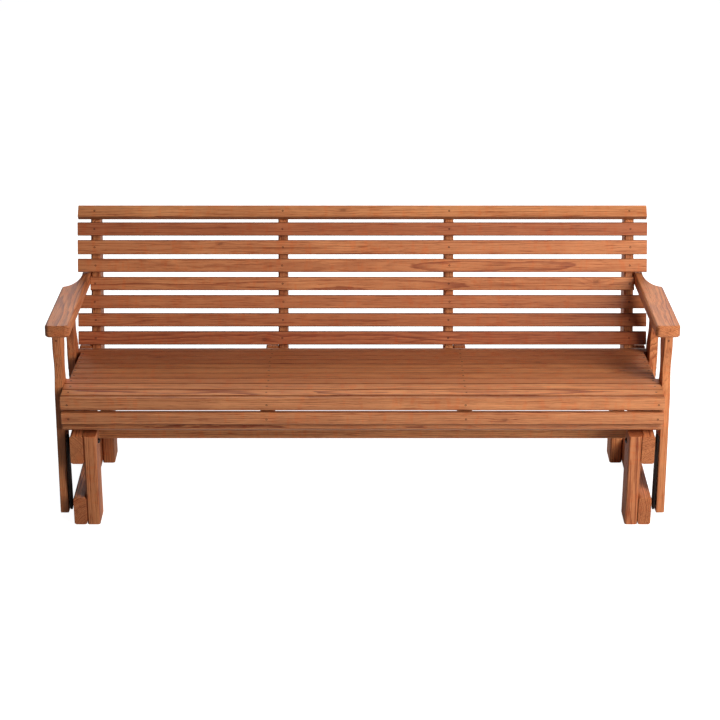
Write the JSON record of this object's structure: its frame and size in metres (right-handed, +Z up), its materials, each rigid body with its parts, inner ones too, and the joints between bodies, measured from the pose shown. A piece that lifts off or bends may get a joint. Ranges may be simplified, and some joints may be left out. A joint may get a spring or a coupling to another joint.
{
  "type": "glider bench",
  "caption": "Slatted wooden garden glider bench with a rolled back, contoured seat and flat arms, hung on steel links in a low base frame.",
  "frame": {"origin": "middle of the bench's footprint, at floor level", "axes": "+X to the right as seen from the front, +Y to the rear, +Z up"},
  "size_m": [1.811, 0.6552, 0.7905],
  "materials": {
    "stained_wood": "satin",
    "hanger_steel": "satin",
    "bolt_steel": "satin"
  },
  "bodies": {
    "base": {"base_bottom_rail_left": "stained_wood", "base_bottom_rail_right": "stained_wood", "base_leg_front_left": "stained_wood", "base_leg_front_right": "stained_wood", "base_leg_rear_left": "stained_wood", "base_leg_rear_right": "stained_wood", "base_stretcher_front": "stained_wood", "base_stretcher_rear": "stained_wood", "base_top_rail_left": "stained_wood", "base_top_rail_right": "stained_wood", "upper_pivot_bolt_front_left": "bolt_steel", "upper_pivot_bolt_front_right": "bolt_steel", "upper_pivot_bolt_rear_left": "bolt_steel", "upper_pivot_bolt_rear_right": "bolt_steel"},
    "seat": {"arm_bolt_left": "bolt_steel", "arm_bolt_right": "bolt_steel", "arm_left": "stained_wood", "arm_post_front_left": "stained_wood", "arm_post_front_right": "stained_wood", "arm_post_rear_left": "stained_wood", "arm_post_rear_right": "stained_wood", "arm_right": "stained_wood", "back_slat_1": "stained_wood", "back_slat_2": "stained_wood", "back_slat_3": "stained_wood", "back_slat_4": "stained_wood", "back_slat_5": "stained_wood", "back_slat_6": "stained_wood", "back_slat_7": "stained_wood", "back_slat_8": "stained_wood", "back_upright_end_left": "stained_wood", "back_upright_end_right": "stained_wood", "back_upright_middle_left": "stained_wood", "back_upright_middle_right": "stained_wood", "lower_pivot_bolt_front_left": "bolt_steel", "lower_pivot_bolt_front_right": "bolt_steel", "lower_pivot_bolt_rear_left": "bolt_steel", "lower_pivot_bolt_rear_right": "bolt_steel", "nose_slat_1": "stained_wood", "nose_slat_2": "stained_wood", "nose_slat_3": "stained_wood", "seat_slat_1": "stained_wood", "seat_slat_10": "stained_wood", "seat_slat_2": "stained_wood", "seat_slat_3": "stained_wood", "seat_slat_4": "stained_wood", "seat_slat_5": "stained_wood", "seat_slat_6": "stained_wood", "seat_slat_7": "stained_wood", "seat_slat_8": "stained_wood", "seat_slat_9": "stained_wood", "seat_support_end_left": "stained_wood", "seat_support_end_right": "stained_wood", "seat_support_middle_left": "stained_wood", "seat_support_middle_right": "stained_wood"},
    "link_front_left_bar": {"link_front_left": "hanger_steel"},
    "link_front_right_bar": {"link_front_right": "hanger_steel"},
    "link_rear_left_bar": {"link_rear_left": "hanger_steel"},
    "link_rear_right_bar": {"link_rear_right": "hanger_steel"}
  },
  "joints": [
    {"name": "link_front_left_swing", "type": "hinge", "parent": "base", "child": "link_front_left_bar", "pos_m": [-0.8639, -0.26119, 0.2515], "axis": [1, 0, 0], "range_deg": [-18, 18]},
    {"name": "link_front_right_swing", "type": "hinge", "parent": "base", "child": "link_front_right_bar", "pos_m": [0.8639, -0.26119, 0.2515], "axis": [1, 0, 0], "range_deg": [-18.5, 18.5]},
    {"name": "link_rear_left_swing", "type": "hinge", "parent": "base", "child": "link_rear_left_bar", "pos_m": [-0.8639, 0.12901, 0.2515], "axis": [1, 0, 0], "range_deg": [-18.5, 18.5]},
    {"name": "link_rear_right_swing", "type": "hinge", "parent": "base", "child": "link_rear_right_bar", "pos_m": [0.8639, 0.12901, 0.2515], "axis": [1, 0, 0], "range_deg": [-18.5, 18.5]},
    {"name": "seat_swing", "type": "hinge", "parent": "link_front_left_bar", "child": "seat", "pos_m": [-0.8639, -0.26119, 0.0445], "axis": [1, 0, 0], "range_deg": [-18.5, 18.5]}
  ],
  "couplings": [
    {"joint": "seat_swing", "follows": "link_front_left_swing", "ratio": -1},
    {"joint": "link_front_right_swing", "follows": "link_front_left_swing", "ratio": 1},
    {"joint": "link_rear_left_swing", "follows": "link_front_left_swing", "ratio": 1},
    {"joint": "link_rear_right_swing", "follows": "link_front_left_swing", "ratio": 1}
  ]
}
